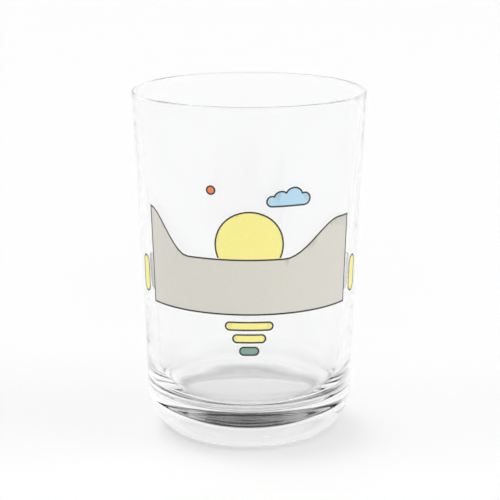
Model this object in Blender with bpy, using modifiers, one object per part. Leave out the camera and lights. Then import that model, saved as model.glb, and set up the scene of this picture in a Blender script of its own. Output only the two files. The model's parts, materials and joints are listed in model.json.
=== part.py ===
"""A heavy-based drinking glass with a picture printed on its front in three coats of ink.

The glass is one turned piece. Each patch of ink is a film of its own that lies on the curved wall:
a white base coat, a coat of colour on it, and a dark key line round its edge. Metres, +Z up. The
origin is the centre of the foot on the table, and the print faces -Y.
"""

import math

import bmesh
import bpy

MM = 0.001

# The glass
HEIGHT = 110.0 * MM
RIM_RADIUS = 37.0 * MM
WALL_FOOT_RADIUS = 32.6 * MM  # the outer wall's curve, carried down to the table
FLARE = 0.28  # share of the taper that grows with the square of the height
RIM_THICKNESS = 1.3 * MM
FOOT_THICKNESS = 4.6 * MM  # the wall's thickness, carried down to the table
HEEL_WIDTH = 7.8 * MM
HEEL_HEIGHT = 11.3 * MM
HEEL_FULLNESS = 1.6  # how far the heel's curve bulges: 1 is a flat slope and 2 an ellipse
BEARING_WIDTH = 2.0 * MM  # the flat ring that stands on the table
PUNT_SLOPE_WIDTH = 11.0 * MM
PUNT_RISE = 0.25 * MM
FLOOR_HEIGHT = 12.2 * MM  # at the floor's edge
FLOOR_DOME = 1.0 * MM  # how much higher its centre is
FLOOR_RADIUS = 22.7 * MM
FLOOR_CORNER_HEIGHT = 14.0 * MM
FLOOR_CORNER_FULLNESS = 2.2

# The print. Positions on it are (along, height): millimetres round the wall from the front, and up.
PRINT_RADIUS = 35.0 * MM  # the wall's radius at which a length along the print is true
FILM_THICKNESS = 0.05 * MM
FILM_GAP = 0.05 * MM
WHITE_INSET = 0.15  # the white coat stops this far inside the colour, so that it never shows
LINE_WIDTH = 0.5
HILLS_WIDTH = 72.0
HILLS_FOOT = 45.7
VALLEY_HEIGHT = 63.0
HILL_RISE = 13.5
LEFT_HILL = (-36.0, -20.0)  # where the left hill is highest, and where it meets the valley
RIGHT_HILL = (31.0, 11.0)
SUN_CENTRE = (0.0, 67.6)
SUN_RADIUS = 10.4
CLOUD_FOOT = 79.6
CLOUD_PUFFS = ((17.0, 1.9), (13.6, 2.8), (9.6, 2.3), (6.8, 1.6))  # (along, radius)
DOT_CENTRE = (-11.5, 84.5)
DOT_RADIUS = 1.25
RIPPLES = (("upper", 42.0, 15.0), ("middle", 38.0, 10.4), ("lower", 34.0, 6.0))
RIPPLE_DEPTH = 2.5
REED_ALONG = 41.8
REED_MIDDLE_HEIGHT = 53.6
REED_WIDTH = 4.4
REED_LENGTH = 11.6

# How finely the curves are cut
TURN_STEPS = 72
FACET_ANGLE = math.tau / TURN_STEPS
WALL_STEPS = 8
ARC_STEPS = 7
DOME_STEPS = 3
LIP_STEPS = 6
HILL_STEPS = 40
CIRCLE_STEPS = 28
MERGE = 0.01 * MM

INKS = {
    "white": (0.90, 0.90, 0.88),
    "grey": (0.68, 0.66, 0.59),
    "yellow": (0.95, 0.87, 0.28),
    "blue": (0.47, 0.70, 0.86),
    "orange": (0.90, 0.24, 0.06),
    "green": (0.22, 0.38, 0.30),
    "black": (0.03, 0.03, 0.03),
}


def wall_radius(height):
    """The outer wall's radius at a height."""
    share = height / HEIGHT
    grown = (1.0 - FLARE) * share + FLARE * share * share
    return WALL_FOOT_RADIUS + (RIM_RADIUS - WALL_FOOT_RADIUS) * grown


def inner_radius(height):
    """The inner wall's radius at a height."""
    share = height / HEIGHT
    return wall_radius(height) - FOOT_THICKNESS - (RIM_THICKNESS - FOOT_THICKNESS) * share


def rounded_corner(centre, width, height, fullness):
    """A quarter turn, from the point straight below the centre to the one beside it."""
    points = []
    for step in range(ARC_STEPS + 1):
        angle = math.pi / 2 * step / ARC_STEPS
        across = abs(math.sin(angle)) ** (2.0 / fullness)
        down = abs(math.cos(angle)) ** (2.0 / fullness)
        points.append((centre[0] + width * across, centre[1] - height * down))
    return points


def glass_profile():
    """(radius, height) from the floor's centre, up the inside, over the lip and down to the foot."""
    corner_top = FLOOR_HEIGHT + FLOOR_CORNER_HEIGHT
    corner_width = inner_radius(corner_top) - FLOOR_RADIUS
    lip_radius = RIM_THICKNESS / 2
    lip_foot = HEIGHT - lip_radius
    heel_foot_radius = wall_radius(HEEL_HEIGHT) - HEEL_WIDTH
    bearing_inner = heel_foot_radius - BEARING_WIDTH

    points = []
    for step in range(DOME_STEPS):
        share = step / DOME_STEPS
        points.append((FLOOR_RADIUS * share, FLOOR_HEIGHT + FLOOR_DOME * (1.0 - share * share)))
    corner = (FLOOR_RADIUS, corner_top)
    points += rounded_corner(corner, corner_width, FLOOR_CORNER_HEIGHT, FLOOR_CORNER_FULLNESS)
    for step in range(1, WALL_STEPS):
        height = corner_top + (lip_foot - corner_top) * step / WALL_STEPS
        points.append((inner_radius(height), height))
    for step in range(LIP_STEPS + 1):
        angle = math.pi * (1.0 - step / LIP_STEPS)
        middle = RIM_RADIUS - lip_radius
        points.append((middle + lip_radius * math.cos(angle), lip_foot + lip_radius * math.sin(angle)))
    for step in range(1, WALL_STEPS):
        height = lip_foot + (HEEL_HEIGHT - lip_foot) * step / WALL_STEPS
        points.append((wall_radius(height), height))
    heel = (heel_foot_radius, HEEL_HEIGHT)
    points += rounded_corner(heel, HEEL_WIDTH, HEEL_HEIGHT, HEEL_FULLNESS)[::-1]
    for step in range(ARC_STEPS + 1):
        share = step / ARC_STEPS
        rise = PUNT_RISE * share * share * (3.0 - 2.0 * share)
        points.append((bearing_inner - PUNT_SLOPE_WIDTH * share, rise))
    points.append((0.0, PUNT_RISE))
    return points


def material(name, colour, roughness, transmission=0.0):
    """A Principled BSDF with this colour."""
    made = bpy.data.materials.new(name)
    made.use_nodes = True
    shader = made.node_tree.nodes["Principled BSDF"]
    shader.inputs["Base Color"].default_value = (*colour, 1.0)
    shader.inputs["Roughness"].default_value = roughness
    shader.inputs["Metallic"].default_value = 0.0
    shader.inputs["Transmission Weight"].default_value = transmission
    shader.inputs["IOR"].default_value = 1.52
    return made


def add_object(name, mesh, look, collection):
    made = bpy.data.objects.new(name, mesh)
    made.data.materials.append(look)
    collection.objects.link(made)
    return made


def make_glass(collection, look):
    """The vessel, turned about Z."""
    profile = glass_profile()
    mesh = bpy.data.meshes.new("glass_tumbler")
    ends = [(i, i + 1) for i in range(len(profile) - 1)]
    mesh.from_pydata([(radius, 0.0, height) for radius, height in profile], ends, [])
    glass = add_object("glass_tumbler", mesh, look, collection)
    turn = glass.modifiers.new("Turn", "SCREW")
    turn.axis = "Z"
    turn.steps = TURN_STEPS
    turn.render_steps = TURN_STEPS
    turn.use_merge_vertices = True
    turn.merge_threshold = MERGE
    turn.use_smooth_shade = True
    return glass


def smooth_step(value, low, high):
    """0 at low and before, 1 at high and after, with no kink between. High may be under low."""
    share = min(max((value - low) / (high - low), 0.0), 1.0)
    return share * share * (3.0 - 2.0 * share)


def hills_outline():
    """A band with a level foot and a top that rises to a steep hill on the left and a long one."""
    half = HILLS_WIDTH / 2
    outline = [(-half, HILLS_FOOT), (half, HILLS_FOOT)]
    for step in range(HILL_STEPS + 1):
        along = half - HILLS_WIDTH * step / HILL_STEPS
        left = smooth_step(along, LEFT_HILL[1], LEFT_HILL[0])
        right = smooth_step(along, RIGHT_HILL[1], RIGHT_HILL[0])
        outline.append((along, VALLEY_HEIGHT + HILL_RISE * (left + 0.8 * right)))
    return outline


def arc(centre, radius, start, end, steps):
    """Points of a circle from one angle to another, in radians, both ends included."""
    points = []
    for step in range(steps + 1):
        angle = start + (end - start) * step / steps
        points.append((centre[0] + radius * math.cos(angle), centre[1] + radius * math.sin(angle)))
    return points


def circle_outline(centre, radius):
    return arc(centre, radius, 0.0, math.tau, CIRCLE_STEPS)[:-1]


def sun_angle(radius, cut_height):
    """The angle below level at which a circle round the sun's centre reaches a height."""
    return math.asin((SUN_CENTRE[1] - cut_height) / radius)


def sun_outline():
    """The part of the disc that stands above the valley, clear of the hills' own ink."""
    cut = sun_angle(SUN_RADIUS, VALLEY_HEIGHT + WHITE_INSET)
    return arc(SUN_CENTRE, SUN_RADIUS, -cut, math.pi + cut, CIRCLE_STEPS)


def sun_line_edges():
    """The outer and inner edges of a line along the sun's arc, which stops short of the hills' line."""
    edges = []
    for radius in (SUN_RADIUS + LINE_WIDTH / 2, SUN_RADIUS - LINE_WIDTH / 2):
        cut = sun_angle(radius, VALLEY_HEIGHT + LINE_WIDTH)
        edges.append(arc(SUN_CENTRE, radius, -cut, math.pi + cut, CIRCLE_STEPS))
    return edges


def crossing(puff, other):
    """The upper point where two circles, each (along, height, radius), cross."""
    gap = math.hypot(other[0] - puff[0], other[1] - puff[1])
    towards = (puff[2] ** 2 - other[2] ** 2 + gap**2) / (2 * gap)
    aside = math.sqrt(puff[2] ** 2 - towards**2)
    step = ((other[0] - puff[0]) / gap, (other[1] - puff[1]) / gap)
    return (puff[0] + towards * step[0] + aside * step[1], puff[1] + towards * step[1] - aside * step[0])


def cloud_outline():
    """Round puffs on a level foot, run through from right to left."""
    puffs = [(along, CLOUD_FOOT + radius, radius) for along, radius in CLOUD_PUFFS]
    outline = []
    for index, puff in enumerate(puffs):
        start = -math.pi / 2
        end = math.pi * 1.5
        if index > 0:
            joint = crossing(puffs[index - 1], puff)
            start = math.atan2(joint[1] - puff[1], joint[0] - puff[0])
        if index < len(puffs) - 1:
            joint = crossing(puff, puffs[index + 1])
            end = math.atan2(joint[1] - puff[1], joint[0] - puff[0])
        turn = arc(puff[:2], puff[2], start, end, CIRCLE_STEPS // 3)
        outline += turn if index == 0 else turn[1:]
    return outline


def pill_outline(centre, width, depth):
    """A level bar with round ends, or an upright one where the depth is more than the width."""
    radius = min(width, depth) / 2
    reach = (max(width, depth) - min(width, depth)) / 2
    turned = 0.0 if width > depth else math.pi / 2
    step = (reach * math.cos(turned), reach * math.sin(turned))
    ahead = (centre[0] + step[0], centre[1] + step[1])
    behind = (centre[0] - step[0], centre[1] - step[1])
    first = arc(ahead, radius, turned - math.pi / 2, turned + math.pi / 2, CIRCLE_STEPS // 3)
    second = arc(behind, radius, turned + math.pi / 2, turned + math.pi * 1.5, CIRCLE_STEPS // 3)
    return first + second


def inset(outline, distance):
    """The outline moved inwards by a distance, or outwards if it is below zero. It runs anticlockwise."""
    moved = []
    for index, point in enumerate(outline):
        before = outline[index - 1]
        after = outline[(index + 1) % len(outline)]
        into = (point[0] - before[0], point[1] - before[1])
        away = (after[0] - point[0], after[1] - point[1])
        normal_in = (-into[1] / math.hypot(*into), into[0] / math.hypot(*into))
        normal_out = (-away[1] / math.hypot(*away), away[0] / math.hypot(*away))
        both = (normal_in[0] + normal_out[0], normal_in[1] + normal_out[1])
        reach = distance * 2 / (both[0] ** 2 + both[1] ** 2)
        moved.append((point[0] + both[0] * reach, point[1] + both[1] * reach))
    return moved


def filled(outline):
    """The flat shape inside an outline."""
    curve = bpy.data.curves.new("outline", "CURVE")
    curve.dimensions = "2D"
    curve.fill_mode = "BOTH"
    spline = curve.splines.new("POLY")
    spline.points.add(len(outline) - 1)
    for point, (along, height) in zip(spline.points, outline, strict=True):
        point.co = (along * MM, height * MM, 0.0, 1.0)
    spline.use_cyclic_u = True
    guide = bpy.data.objects.new("outline", curve)
    bpy.context.scene.collection.objects.link(guide)
    mesh = bpy.data.meshes.new_from_object(guide.evaluated_get(bpy.context.evaluated_depsgraph_get()))
    flat = bmesh.new()
    flat.from_mesh(mesh)
    bpy.data.objects.remove(guide)
    bpy.data.curves.remove(curve)
    bpy.data.meshes.remove(mesh)
    if flat.faces[:][0].normal.z < 0:
        bmesh.ops.reverse_faces(flat, faces=flat.faces)
    return flat


def ribbon(edges, closed):
    """The flat strip between an outer and an inner edge, which have as many points as each other."""
    flat = bmesh.new()
    outer, inner = ([flat.verts.new((x * MM, y * MM, 0.0)) for x, y in edge] for edge in edges)
    for index in range(len(outer) if closed else len(outer) - 1):
        after = (index + 1) % len(outer)
        flat.faces.new((outer[index], outer[after], inner[after], inner[index]))
    return flat


def slice_upright(flat):
    """Cuts the flat shape where the facets of the turned wall meet, so that it can bend there."""
    step = FACET_ANGLE * PRINT_RADIUS
    reach = max(abs(vertex.co.x) for vertex in flat.verts)
    count = int(reach / step)
    for index in range(-count, count + 1):
        everything = flat.verts[:] + flat.edges[:] + flat.faces[:]
        bmesh.ops.bisect_plane(
            flat, geom=everything, dist=MERGE / 10, plane_co=(index * step, 0, 0), plane_no=(1, 0, 0)
        )


def wrap(flat, clearance):
    """Lays the flat shape on the facets of the turned wall, this far outside them."""
    for vertex in flat.verts:
        angle = vertex.co.x / PRINT_RADIUS
        height = vertex.co.y
        from_facet_middle = angle % FACET_ANGLE - FACET_ANGLE / 2
        on_facet = math.cos(FACET_ANGLE / 2) / math.cos(from_facet_middle)
        radius = (wall_radius(height) + clearance) * on_facet
        vertex.co = (radius * math.sin(angle), -radius * math.cos(angle), height)


def make_film(name, flat, coat, look, collection):
    """One film of ink from a flat shape. The coat says how many coats lie under it."""
    slice_upright(flat)
    wrap(flat, FILM_GAP + coat * (FILM_THICKNESS + FILM_GAP))
    mesh = bpy.data.meshes.new(name)
    flat.to_mesh(mesh)
    flat.free()
    film = add_object(name, mesh, look, collection)
    thick = film.modifiers.new("Thickness", "SOLIDIFY")
    thick.thickness = FILM_THICKNESS
    thick.offset = 1.0
    thick.use_even_offset = True


def make_print(name, outline, ink, inks, collection, open_line=None):
    """A patch of the print: white base, colour and key line. An open line replaces the one all round."""
    make_film(f"{name}_white_base", filled(inset(outline, WHITE_INSET)), 0, inks["white"], collection)
    make_film(f"{name}_{ink}_ink", filled(outline), 1, inks[ink], collection)
    edges = open_line or [inset(outline, -LINE_WIDTH / 2), inset(outline, LINE_WIDTH / 2)]
    line = ribbon(edges, closed=open_line is None)
    make_film(f"{name}_key_line", line, 2, inks["black"], collection)


def clear_scene():
    for leftover in list(bpy.data.objects):
        bpy.data.objects.remove(leftover)


def main():
    clear_scene()
    parts = bpy.data.collections.new("printed_drinking_glass")
    bpy.context.scene.collection.children.link(parts)
    clear_glass = material("clear_glass", (0.97, 0.98, 0.98), 0.0, transmission=1.0)
    inks = {name: material(f"{name}_ink", colour, 0.45) for name, colour in INKS.items()}

    make_glass(parts, clear_glass)
    make_print("hills", hills_outline(), "grey", inks, parts)
    make_print("sun", sun_outline(), "yellow", inks, parts, open_line=sun_line_edges())
    make_print("cloud", cloud_outline(), "blue", inks, parts)
    make_print("dot", circle_outline(DOT_CENTRE, DOT_RADIUS), "orange", inks, parts)
    for place, height, width in RIPPLES:
        ink = "green" if place == "lower" else "yellow"
        make_print(f"{place}_ripple", pill_outline((0.0, height), width, RIPPLE_DEPTH), ink, inks, parts)
    for side, sign in (("left", -1), ("right", 1)):
        reed = pill_outline((sign * REED_ALONG, REED_MIDDLE_HEIGHT), REED_WIDTH, REED_LENGTH)
        make_print(f"{side}_reed", reed, "yellow", inks, parts)


main()
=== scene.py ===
"""The looks of a heavy-based drinking glass with a landscape printed on its front.

The vessel is turned again from its profile, finely, with the faint waves of pressed glass on its
inside. Each coat of ink is laid afresh from its CAD film, close on the wall. Metres, +Z up.
"""

import json
import math

import bmesh
import bpy
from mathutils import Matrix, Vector, noise


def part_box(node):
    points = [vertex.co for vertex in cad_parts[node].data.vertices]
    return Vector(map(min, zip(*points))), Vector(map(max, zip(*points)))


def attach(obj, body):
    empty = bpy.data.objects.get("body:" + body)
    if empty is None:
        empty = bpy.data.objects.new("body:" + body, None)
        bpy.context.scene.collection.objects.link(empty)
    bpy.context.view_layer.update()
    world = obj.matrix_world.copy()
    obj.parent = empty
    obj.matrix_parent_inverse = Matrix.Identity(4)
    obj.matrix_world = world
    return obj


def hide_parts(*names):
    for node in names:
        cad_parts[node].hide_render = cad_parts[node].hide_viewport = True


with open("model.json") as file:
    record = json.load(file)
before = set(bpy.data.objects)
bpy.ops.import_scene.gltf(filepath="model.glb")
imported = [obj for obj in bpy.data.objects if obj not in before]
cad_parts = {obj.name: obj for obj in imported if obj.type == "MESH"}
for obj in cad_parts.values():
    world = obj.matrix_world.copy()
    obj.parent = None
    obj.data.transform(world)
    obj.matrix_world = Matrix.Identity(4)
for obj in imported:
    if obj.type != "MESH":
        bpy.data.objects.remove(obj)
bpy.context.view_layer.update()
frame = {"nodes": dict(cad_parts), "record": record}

MM = 0.001
BODY = "root"

# The vessel. Its height and rim come from the frame, and the rest is as in the CAD profile.
VESSEL = "glass_tumbler"
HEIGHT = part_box(VESSEL)[1].z
RIM_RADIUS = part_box(VESSEL)[1].x
WALL_FOOT_RADIUS = 32.6 * MM
FLARE = 0.28
RIM_THICKNESS = 1.3 * MM
FOOT_THICKNESS = 4.6 * MM
HEEL_WIDTH = 7.8 * MM
HEEL_HEIGHT = 11.3 * MM
HEEL_FULLNESS = 1.6
BEARING_WIDTH = 2.0 * MM
PUNT_SLOPE_WIDTH = 11.0 * MM
PUNT_RISE = 0.25 * MM
FLOOR_HEIGHT = 12.2 * MM
FLOOR_RADIUS = 22.7 * MM
FLOOR_DOME = 1.0 * MM
FLOOR_CORNER_HEIGHT = 14.0 * MM
FLOOR_CORNER_FULLNESS = 2.2

# The waves of pressed glass: (noise cells to the metre across, the same upwards, a shift of the noise)
BROAD_WAVES = (45.0, 12.0, 0.0)
FINE_WAVES = (130.0, 22.0, 7.0)
RING_WAVES = (40.0, 300.0, -3.0)
WAVE_DEPTH = 0.07 * MM
WAVE_SHARE_AT_RIM = 0.25
FINE_WAVE_SHARE = 0.5
RING_DEPTH = 0.08 * MM
RINGS_REACH = 34.0 * MM
INSIDE_DEPTH = 0.6 * RIM_THICKNESS  # a point further than this under the outer wall is on the inside

# How finely the vessel is cut
SEGMENTS = 192
WALL_STEPS = 72
ARC_STEPS = 20
LIP_STEPS = 12
FLAT_STEPS = 8
MERGE = 0.01 * MM
FINE_MERGE = MERGE / 10

# The print
PRINT_RADIUS = 35.0 * MM
FACET_ANGLE = math.radians(5.0)
SLICE_ANGLE = math.radians(1.25)
SLICE_HEIGHT = 5.0 * MM
FLAT_ANGLE = math.radians(0.5)
SHARP_ANGLE = math.radians(40.0)
INK_THICKNESS = 0.025 * MM
INK_GAP = 0.008 * MM
COATS = ("white_base", "ink", "key_line")

# The glass's look. Cords are the faint streaks of uneven melt.
GLASS_IOR = 1.52
GLASS_TINTS = ((0.968, 0.974, 0.971), (0.976, 0.979, 0.977))
GLASS_ROUGHEST = 0.02
CORD_SCALE = 90.0
CORD_STRENGTH = 0.1
CORD_DEPTH = 0.05 * MM

# How much of a matt light the glass lets by
SIDE_SHADE = (  # (height, light let by) for an upright surface
    (0.0, 0.40),
    (2.5 * MM, 0.82),
    (12.0 * MM, 0.87),
    (30.0 * MM, 0.97),
    (60.0 * MM, 0.995),
)
BEARING_SHADE = 0.62  # for the level ring that the glass stands on
LEVEL_SHADE = 0.96  # for the other level surfaces, under and in the base
BEARING_TOP = PUNT_RISE / 4
LEVEL_SHARPNESS = 8.0

# The ink's look
INK_TINTS = (0.98, 1.05)  # the mottle's darkest and lightest, as shares of the flat colour
INK_ROUGHNESS = 0.42
INK_ROUGHNESS_SWING = 0.06
MOTTLE_SCALE = 900.0
MOTTLE_DETAIL = 3.0
GRAIN_SCALE = 5200.0
GRAIN_STRENGTH = 0.12
GRAIN_DEPTH = 0.02 * MM

# The camera
CAMERA_STANDOFF = 546.7 * MM
CAMERA_HEIGHT = 193.6 * MM
CAMERA_PITCH = math.radians(13.97)
CAMERA_LENS = 126.0
SENSOR_WIDTH = 36.0
CAMERA_SHIFT = 0.0016

# The studio. Angles are in degrees, and azimuth goes as the camera goes round, from 0 in front.
STUDIO_FLOOR_REACH = 30.0
STUDIO_FLOOR_TONE = 0.93
STUDIO_FLOOR_ROUGHNESS = 0.6
STUDIO_FLOOR_SHEEN = 0.2
DRY_GAP = 0.05 * MM
ROOM_LIGHT = (  # (elevation, light): a bright sweep low down, pale walls, a dark ceiling
    (0.0, 1.15),
    (9.0, 1.00),
    (16.0, 0.90),
    (28.0, 0.87),
    (36.0, 0.10),
    (46.0, 0.03),
    (60.0, 0.02),
    (90.0, 0.035),
)
PATCHES = (  # (azimuth, elevation, reach, light): lamps, and dark screens where the light is below zero
    (-95.0, 50.0, 13.0, 0.5),
    (80.0, 50.0, 12.0, 0.5),
    (-76.0, 27.0, 15.0, -0.45),  # the two halves of a grey screen on the left
    (-106.0, 27.0, 15.0, -0.45),
    (85.0, 20.0, 22.0, 0.35),
    (0.0, 33.0, 16.0, -0.5),  # the dim room behind the camera
    (-32.0, 67.0, 2.5, 1.5),
    (52.0, 60.0, 6.0, 0.8),
    (-68.0, 58.0, 5.0, 0.7),
)
PATCH_INNER = 0.85  # shares of a patch's reach, from full light to none
PATCH_OUTER = 1.25
MATT_LIGHTS = (  # (azimuth, elevation, spread, strength)
    (214.0, 62.0, 30.0, 2.36),
    (0.0, 20.0, 40.0, 0.48),
    (-85.0, 25.0, 50.0, 0.34),
    (85.0, 25.0, 50.0, 0.25),
)

# Light goes round in the rim's wall many times, and the picture changes with this limit.
BOUNCES = 256
SEE_THROUGH_BOUNCES = 32

# Where ShaderNodeMix keeps its sockets, which share their names
MIX_FACTOR = 0
FLOAT_A, FLOAT_B, FLOAT_RESULT = 2, 3, 0
COLOUR_A, COLOUR_B, COLOUR_RESULT = 6, 7, 2


def wall_radius(height):
    """The outer wall's radius at a height."""
    share = height / HEIGHT
    grown = (1.0 - FLARE) * share + FLARE * share * share
    return WALL_FOOT_RADIUS + (RIM_RADIUS - WALL_FOOT_RADIUS) * grown


def inner_radius(height):
    """The inner wall's radius at a height."""
    share = height / HEIGHT
    return wall_radius(height) - FOOT_THICKNESS - (RIM_THICKNESS - FOOT_THICKNESS) * share


def rounded_corner(centre, width, height, fullness):
    """A quarter turn from straight below the centre to straight beside it. Fullness 2 is an ellipse."""
    points = []
    for step in range(ARC_STEPS + 1):
        angle = math.pi / 2 * step / ARC_STEPS
        across = abs(math.sin(angle)) ** (2.0 / fullness)
        down = abs(math.cos(angle)) ** (2.0 / fullness)
        points.append((centre[0] + width * across, centre[1] - height * down))
    return points


def inside_profile():
    """(radius, height) from the floor's centre, round its corner and up the inner wall."""
    corner_top = FLOOR_HEIGHT + FLOOR_CORNER_HEIGHT
    corner_width = inner_radius(corner_top) - FLOOR_RADIUS
    lip_foot = HEIGHT - RIM_THICKNESS / 2
    points = []
    for step in range(FLAT_STEPS):
        share = step / FLAT_STEPS
        points.append((FLOOR_RADIUS * share, FLOOR_HEIGHT + FLOOR_DOME * (1.0 - share * share)))
    corner = (FLOOR_RADIUS, corner_top)
    points += rounded_corner(corner, corner_width, FLOOR_CORNER_HEIGHT, FLOOR_CORNER_FULLNESS)
    for step in range(1, WALL_STEPS):
        height = corner_top + (lip_foot - corner_top) * step / WALL_STEPS
        points.append((inner_radius(height), height))
    return points


def lip_profile():
    """(radius, height) over the lip, from the inner wall to the outer."""
    lip_radius = RIM_THICKNESS / 2
    lip_foot = HEIGHT - lip_radius
    middle = RIM_RADIUS - lip_radius
    points = []
    for step in range(LIP_STEPS + 1):
        angle = math.pi * (1.0 - step / LIP_STEPS)
        points.append((middle + lip_radius * math.cos(angle), lip_foot + lip_radius * math.sin(angle)))
    return points


def outside_profile():
    """(radius, height) down the outer wall, round the heel and across the base to its centre."""
    lip_foot = HEIGHT - RIM_THICKNESS / 2
    heel_foot_radius = wall_radius(HEEL_HEIGHT) - HEEL_WIDTH
    bearing_inner = heel_foot_radius - BEARING_WIDTH
    punt_radius = bearing_inner - PUNT_SLOPE_WIDTH
    points = []
    for step in range(1, WALL_STEPS):
        height = lip_foot + (HEEL_HEIGHT - lip_foot) * step / WALL_STEPS
        points.append((wall_radius(height), height))
    heel = (heel_foot_radius, HEEL_HEIGHT)
    points += rounded_corner(heel, HEEL_WIDTH, HEEL_HEIGHT, HEEL_FULLNESS)[::-1]
    for step in range(ARC_STEPS + 1):
        share = step / ARC_STEPS
        rise = PUNT_RISE * share * share * (3.0 - 2.0 * share)
        points.append((bearing_inner - PUNT_SLOPE_WIDTH * share, rise))
    for step in range(1, FLAT_STEPS + 1):
        points.append((punt_radius * (1.0 - step / FLAT_STEPS), PUNT_RISE))
    return points


def is_inside(point):
    """Whether a point of the vessel is on the inner wall or the floor, and below the lip."""
    radius = math.hypot(point.x, point.y)
    between_walls = wall_radius(point.z) - INSIDE_DEPTH
    return FLOOR_HEIGHT - MERGE < point.z < HEIGHT - RIM_THICKNESS and radius < between_walls


def ripple(point, waves):
    """Smooth noise at a point, -1 to 1."""
    across, upwards, shift = waves
    return noise.noise(Vector((point.x * across + shift, point.y * across, point.z * upwards)))


def wave(point):
    """How far pressing and cooling pushed the inner surface in here: most in rings near the floor."""
    above_floor = point.z - FLOOR_HEIGHT
    low = 1.0 - above_floor / (HEIGHT - FLOOR_HEIGHT)
    near_floor = max(0.0, 1.0 - above_floor / RINGS_REACH)
    depth = WAVE_DEPTH * (WAVE_SHARE_AT_RIM + (1.0 - WAVE_SHARE_AT_RIM) * low**2)
    swell = ripple(point, BROAD_WAVES) + FINE_WAVE_SHARE * ripple(point, FINE_WAVES)
    return depth * swell + RING_DEPTH * near_floor * ripple(point, RING_WAVES)


def press_waves(mesh):
    """Moves the inner surface in and out by the waves."""
    for vertex in mesh.vertices:
        if is_inside(vertex.co):
            outward = Vector((vertex.co.x, vertex.co.y, 0.0))
            if outward.length > MERGE:
                vertex.co -= outward.normalized() * wave(vertex.co)


def turned(profile):
    """The profile turned round the glass's axis, as a mesh."""
    outline = bpy.data.meshes.new("vessel_profile")
    ends = [(i, i + 1) for i in range(len(profile) - 1)]
    outline.from_pydata([(radius, 0.0, height) for radius, height in profile], ends, [])
    guide = bpy.data.objects.new("vessel_profile", outline)
    bpy.context.scene.collection.objects.link(guide)
    turn = guide.modifiers.new("Turn", "SCREW")
    turn.axis = "Z"
    turn.steps = SEGMENTS
    turn.render_steps = SEGMENTS
    turn.use_merge_vertices = True
    turn.merge_threshold = MERGE
    turn.use_smooth_shade = True
    mesh = bpy.data.meshes.new_from_object(guide.evaluated_get(bpy.context.evaluated_depsgraph_get()))
    bpy.data.objects.remove(guide)
    return mesh


def make_vessel(look):
    """The glass itself, in one piece."""
    mesh = turned(inside_profile() + lip_profile() + outside_profile())
    press_waves(mesh)
    mesh.name = "clear_vessel"
    add_piece("clear_vessel", mesh, look, VESSEL)


def add_piece(name, mesh, look, node):
    """A new piece that stands for a CAD node."""
    piece = bpy.data.objects.new(name, mesh)
    bpy.context.scene.collection.objects.link(piece)
    mesh.materials.clear()
    mesh.materials.append(look)
    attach(piece, BODY)
    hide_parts(node)
    return piece


def unroll(flat):
    """Turns a CAD film into a flat slab: x is the way round, y the height, and z its depth outwards."""
    rolled = []
    for vertex in flat.verts:
        angle = math.atan2(vertex.co.x, -vertex.co.y)
        from_facet_middle = angle % FACET_ANGLE - FACET_ANGLE / 2
        on_facet = math.cos(FACET_ANGLE / 2) / math.cos(from_facet_middle)
        depth = math.hypot(vertex.co.x, vertex.co.y) / on_facet - wall_radius(vertex.co.z)
        rolled.append((angle * PRINT_RADIUS, vertex.co.z, depth))
    middle = sum(depth for _, _, depth in rolled) / len(rolled)
    for vertex, (along, height, depth) in zip(flat.verts, rolled, strict=True):
        vertex.co = (along, height, INK_THICKNESS if depth > middle else 0.0)


def slice_up(flat, step, axis):
    """Cuts the slab at equal steps along an axis, so that it can bend there."""
    values = [vertex.co[axis] for vertex in flat.verts]
    normal = Vector((0.0, 0.0, 0.0))
    normal[axis] = 1.0
    for index in range(math.ceil(min(values) / step), math.floor(max(values) / step) + 1):
        everything = flat.verts[:] + flat.edges[:] + flat.faces[:]
        bmesh.ops.bisect_plane(
            flat, geom=everything, dist=FINE_MERGE, plane_co=normal * index * step, plane_no=normal
        )


def wrap(flat, clearance):
    """Bends the slab round the wall, this far outside it."""
    for vertex in flat.verts:
        angle = vertex.co.x / PRINT_RADIUS
        height = vertex.co.y
        radius = wall_radius(height) + clearance + vertex.co.z
        vertex.co = (radius * math.sin(angle), -radius * math.cos(angle), height)


def make_ink(node, look):
    """One coat of ink, from its CAD film."""
    coat = next(index for index, ending in enumerate(COATS) if node.endswith(ending))
    flat = bmesh.new()
    flat.from_mesh(frame["nodes"][node].data)
    bmesh.ops.remove_doubles(flat, verts=flat.verts, dist=FINE_MERGE)
    unroll(flat)
    bmesh.ops.dissolve_limit(flat, angle_limit=FLAT_ANGLE, verts=flat.verts, edges=flat.edges)
    slice_up(flat, SLICE_ANGLE * PRINT_RADIUS, 0)
    slice_up(flat, SLICE_HEIGHT, 1)
    bmesh.ops.remove_doubles(flat, verts=flat.verts, dist=MERGE)
    bmesh.ops.triangulate(flat, faces=flat.faces)
    wrap(flat, INK_GAP + coat * (INK_THICKNESS + INK_GAP))
    name = node + "_coat"
    mesh = bpy.data.meshes.new(name)
    flat.to_mesh(mesh)
    flat.free()
    mesh.shade_smooth()
    mesh.set_sharp_from_angle(angle=SHARP_ANGLE)
    piece = add_piece(name, mesh, look, node)
    piece.visible_shadow = False


def new_material(name):
    """A new node material and its node tree."""
    made = bpy.data.materials.new(name)
    made.use_nodes = True
    return made, made.node_tree


def add_ramp(tree, stops):
    """A grey ramp through (place, lightness) stops."""
    ramp = tree.nodes.new("ShaderNodeValToRGB")
    elements = ramp.color_ramp.elements
    while len(elements) < len(stops):
        elements.new(0.5)
    for element, (at, lightness) in zip(elements, stops, strict=True):
        element.position = at
        element.color = (lightness, lightness, lightness, 1.0)
    return ramp


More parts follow.
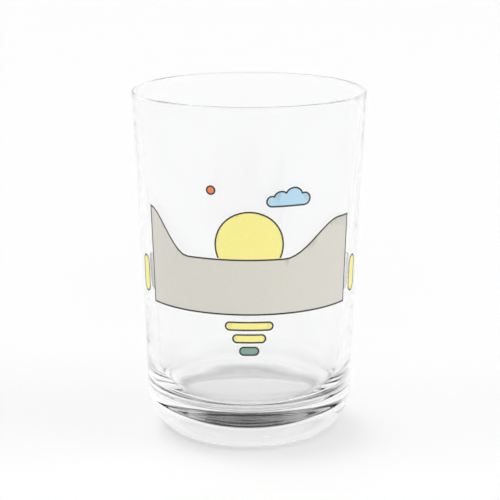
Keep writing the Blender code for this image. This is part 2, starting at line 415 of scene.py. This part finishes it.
def add_noise(tree, place, scale, detail=2.0):
    """Noise over a piece, with this many cells to the metre."""
    texture = tree.nodes.new("ShaderNodeTexNoise")
    texture.inputs["Scale"].default_value = scale
    texture.inputs["Detail"].default_value = detail
    tree.links.new(place, texture.inputs["Vector"])
    return texture.outputs["Fac"]


def add_math(tree, operation, first, second):
    """A sum of a node's output with a number or with another output."""
    math_node = tree.nodes.new("ShaderNodeMath")
    math_node.operation = operation
    tree.links.new(first, math_node.inputs[0])
    if isinstance(second, float):
        math_node.inputs[1].default_value = second
    else:
        tree.links.new(second, math_node.inputs[1])
    return math_node.outputs["Value"]


def vary_colour(tree, shader, amount, from_colour, to_colour):
    """Mixes the base colour between two colours."""
    tint = tree.nodes.new("ShaderNodeMix")
    tint.data_type = "RGBA"
    tint.inputs[COLOUR_A].default_value = (*from_colour, 1.0)
    tint.inputs[COLOUR_B].default_value = (*to_colour, 1.0)
    tree.links.new(amount, tint.inputs[MIX_FACTOR])
    tree.links.new(tint.outputs[COLOUR_RESULT], shader.inputs["Base Color"])


def vary_roughness(tree, shader, amount, smoothest, roughest):
    """Sets the roughness between two values."""
    polish = tree.nodes.new("ShaderNodeMapRange")
    polish.inputs["To Min"].default_value = smoothest
    polish.inputs["To Max"].default_value = roughest
    tree.links.new(amount, polish.inputs["Value"])
    tree.links.new(polish.outputs["Result"], shader.inputs["Roughness"])


def add_bump(tree, shader, height, strength, depth):
    """Makes the surface uneven without moving it."""
    bump = tree.nodes.new("ShaderNodeBump")
    bump.inputs["Strength"].default_value = strength
    bump.inputs["Distance"].default_value = depth
    tree.links.new(height, bump.inputs["Height"])
    tree.links.new(bump.outputs["Normal"], shader.inputs["Normal"])


def side_shade(tree, height):
    """How much of a matt light an upright surface lets by, from its height."""
    ramp = add_ramp(tree, [(at / HEIGHT, light) for at, light in SIDE_SHADE])
    tree.links.new(add_math(tree, "DIVIDE", height, HEIGHT), ramp.inputs["Fac"])
    return ramp.outputs["Color"]


def level_shade(tree, height):
    """How much of a matt light a level surface lets by: least on the bearing ring."""
    shade = tree.nodes.new("ShaderNodeMapRange")
    shade.inputs["From Max"].default_value = BEARING_TOP
    shade.inputs["To Min"].default_value = BEARING_SHADE
    shade.inputs["To Max"].default_value = LEVEL_SHADE
    tree.links.new(height, shade.inputs["Value"])
    return shade.outputs["Result"]


def add_levelness(tree):
    """1 where a surface is level, and next to 0 where it is steep."""
    facing = tree.nodes.new("ShaderNodeSeparateXYZ")
    tree.links.new(tree.nodes.new("ShaderNodeNewGeometry").outputs["Normal"], facing.inputs["Vector"])
    return add_math(tree, "POWER", facing.outputs["Z"], LEVEL_SHARPNESS)


def let_matt_light_through(tree, shader, place):
    """Makes the glass clear to shadow rays, dimmed by a set amount at each surface."""
    axes = tree.nodes.new("ShaderNodeSeparateXYZ")
    tree.links.new(place, axes.inputs["Vector"])
    height = axes.outputs["Z"]
    shade = tree.nodes.new("ShaderNodeMix")
    tree.links.new(add_levelness(tree), shade.inputs[MIX_FACTOR])
    tree.links.new(side_shade(tree, height), shade.inputs[FLOAT_A])
    tree.links.new(level_shade(tree, height), shade.inputs[FLOAT_B])
    through = tree.nodes.new("ShaderNodeBsdfTransparent")
    tree.links.new(shade.outputs[FLOAT_RESULT], through.inputs["Color"])
    mix = tree.nodes.new("ShaderNodeMixShader")
    is_shadow = tree.nodes.new("ShaderNodeLightPath").outputs["Is Shadow Ray"]
    tree.links.new(is_shadow, mix.inputs["Fac"])
    tree.links.new(shader.outputs["BSDF"], mix.inputs[1])
    tree.links.new(through.outputs["BSDF"], mix.inputs[2])
    tree.links.new(mix.outputs["Shader"], tree.nodes["Material Output"].inputs["Surface"])


def glass_look():
    """Clear soda-lime glass with faint cords."""
    made, tree = new_material("clear_glass")
    shader = tree.nodes["Principled BSDF"]
    shader.inputs["Transmission Weight"].default_value = 1.0
    shader.inputs["IOR"].default_value = GLASS_IOR
    place = tree.nodes.new("ShaderNodeTexCoord").outputs["Object"]
    cords = add_noise(tree, place, CORD_SCALE)
    vary_colour(tree, shader, cords, *GLASS_TINTS)
    vary_roughness(tree, shader, cords, 0.0, GLASS_ROUGHEST)
    add_bump(tree, shader, cords, CORD_STRENGTH, CORD_DEPTH)
    let_matt_light_through(tree, shader, place)
    return made


def ink_look(slot):
    """Cured ink: a flat colour with a faint mottle, and the fine unevenness of a printed film."""
    made, tree = new_material(slot)
    shader = tree.nodes["Principled BSDF"]
    colour = slot_colour(slot)
    dark, light = [[min(value * share, 1.0) for value in colour] for share in INK_TINTS]
    place = tree.nodes.new("ShaderNodeTexCoord").outputs["Object"]
    mottle = add_noise(tree, place, MOTTLE_SCALE, MOTTLE_DETAIL)
    grain = add_noise(tree, place, GRAIN_SCALE)
    vary_colour(tree, shader, mottle, dark, light)
    smoothest = INK_ROUGHNESS - INK_ROUGHNESS_SWING
    roughest = INK_ROUGHNESS + INK_ROUGHNESS_SWING
    vary_roughness(tree, shader, mottle, smoothest, roughest)
    add_bump(tree, shader, grain, GRAIN_STRENGTH, GRAIN_DEPTH)
    return made


def slot_colour(slot):
    """A material slot's base colour, from the record."""
    for entry in frame["record"]["materials"]:
        if entry["slot"] == slot:
            return entry["base_color"][:3]
    raise KeyError(slot)


def make_print():
    """Every coat of ink in the record, one look to a slot."""
    looks = {}
    for entry in frame["record"]["subparts"]:
        node = entry["node"]
        slot = entry["material_slot"]
        if node == VESSEL:
            continue
        if slot not in looks:
            looks[slot] = ink_look(slot)
        make_ink(node, looks[slot])


def make_studio_floor():
    """A pale floor. A dry base never quite touches what it stands on, so light stays in the glass."""
    mesh = bpy.data.meshes.new("floor")
    square = ((-1, -1), (1, -1), (1, 1), (-1, 1))
    corners = [(x * STUDIO_FLOOR_REACH, y * STUDIO_FLOOR_REACH, -DRY_GAP) for x, y in square]
    mesh.from_pydata(corners, [], [(0, 1, 2, 3)])
    floor = bpy.data.objects.new("floor", mesh)
    bpy.context.scene.collection.objects.link(floor)
    made, tree = new_material("pale_floor")
    shader = tree.nodes["Principled BSDF"]
    tone = STUDIO_FLOOR_TONE
    shader.inputs["Base Color"].default_value = (tone, tone, tone, 1.0)
    shader.inputs["Roughness"].default_value = STUDIO_FLOOR_ROUGHNESS
    shader.inputs["Specular IOR Level"].default_value = STUDIO_FLOOR_SHEEN
    mesh.materials.append(made)


def room_by_elevation(tree, direction):
    """The room's light, the same all round."""
    axes = tree.nodes.new("ShaderNodeSeparateXYZ")
    tree.links.new(direction, axes.inputs["Vector"])
    brightest = max(light for _, light in ROOM_LIGHT)
    ramp = add_ramp(tree, [(math.sin(math.radians(at)), light / brightest) for at, light in ROOM_LIGHT])
    tree.links.new(axes.outputs["Z"], ramp.inputs["Fac"])
    return add_math(tree, "MULTIPLY", ramp.outputs["Color"], brightest)


def patch(tree, direction, azimuth, elevation, reach, light):
    """A soft round patch of light, or of light taken away, in one direction."""
    towards = tree.nodes.new("ShaderNodeVectorMath")
    towards.operation = "DOT_PRODUCT"
    towards.inputs[1].default_value = (
        math.sin(azimuth) * math.cos(elevation),
        -math.cos(azimuth) * math.cos(elevation),
        math.sin(elevation),
    )
    tree.links.new(direction, towards.inputs[0])
    glow = tree.nodes.new("ShaderNodeMapRange")
    glow.interpolation_type = "SMOOTHSTEP"
    glow.inputs["From Min"].default_value = math.cos(reach * PATCH_OUTER)
    glow.inputs["From Max"].default_value = math.cos(reach * PATCH_INNER)
    glow.inputs["To Max"].default_value = light
    tree.links.new(towards.outputs["Value"], glow.inputs["Value"])
    return glow.outputs["Result"]


def make_world():
    """The room as the glass sees it: its light by elevation, with lamps added and screens taken off."""
    world = bpy.data.worlds.new("studio")
    bpy.context.scene.world = world
    world.use_nodes = True
    tree = world.node_tree
    direction = tree.nodes.new("ShaderNodeTexCoord").outputs["Generated"]
    total = room_by_elevation(tree, direction)
    for azimuth, elevation, reach, light in PATCHES:
        angles = [math.radians(angle) for angle in (azimuth, elevation, reach)]
        total = add_math(tree, "ADD", total, patch(tree, direction, *angles, light))
    background = tree.nodes["Background"]
    background.inputs["Color"].default_value = (1.0, 1.0, 1.0, 1.0)
    tree.links.new(total, background.inputs["Strength"])


def make_matt_light(azimuth, elevation, spread, strength):
    """A broad soft light that only matt surfaces see, so it adds no glare to the glass."""
    light = bpy.data.lights.new("soft_light", "SUN")
    light.angle = math.radians(spread)
    light.energy = strength
    holder = bpy.data.objects.new("soft_light", light)
    holder.rotation_euler = (math.pi / 2 - math.radians(elevation), 0.0, math.radians(azimuth))
    holder.visible_camera = False
    holder.visible_glossy = False
    holder.visible_transmission = False
    bpy.context.scene.collection.objects.link(holder)


def make_camera():
    """The photo's view: from the front and a little above, through a long lens."""
    camera = bpy.data.cameras.new("camera")
    camera.lens = CAMERA_LENS
    camera.sensor_width = SENSOR_WIDTH
    camera.shift_x = CAMERA_SHIFT
    holder = bpy.data.objects.new("camera", camera)
    holder.location = (0.0, -CAMERA_STANDOFF, CAMERA_HEIGHT)
    holder.rotation_euler = (math.pi / 2 - CAMERA_PITCH, 0.0, 0.0)
    bpy.context.scene.collection.objects.link(holder)
    bpy.context.scene.camera = holder


def set_tones_and_bounces():
    """Plain tones, and enough bounces for thick clear glass."""
    scene = bpy.context.scene
    scene.view_settings.view_transform = "Standard"
    scene.cycles.max_bounces = BOUNCES
    scene.cycles.transmission_bounces = BOUNCES
    scene.cycles.glossy_bounces = BOUNCES
    scene.cycles.transparent_max_bounces = SEE_THROUGH_BOUNCES


def main():
    make_vessel(glass_look())
    make_print()
    make_studio_floor()
    make_world()
    for matt_light in MATT_LIGHTS:
        make_matt_light(*matt_light)
    make_camera()
    set_tones_and_bounces()


main()
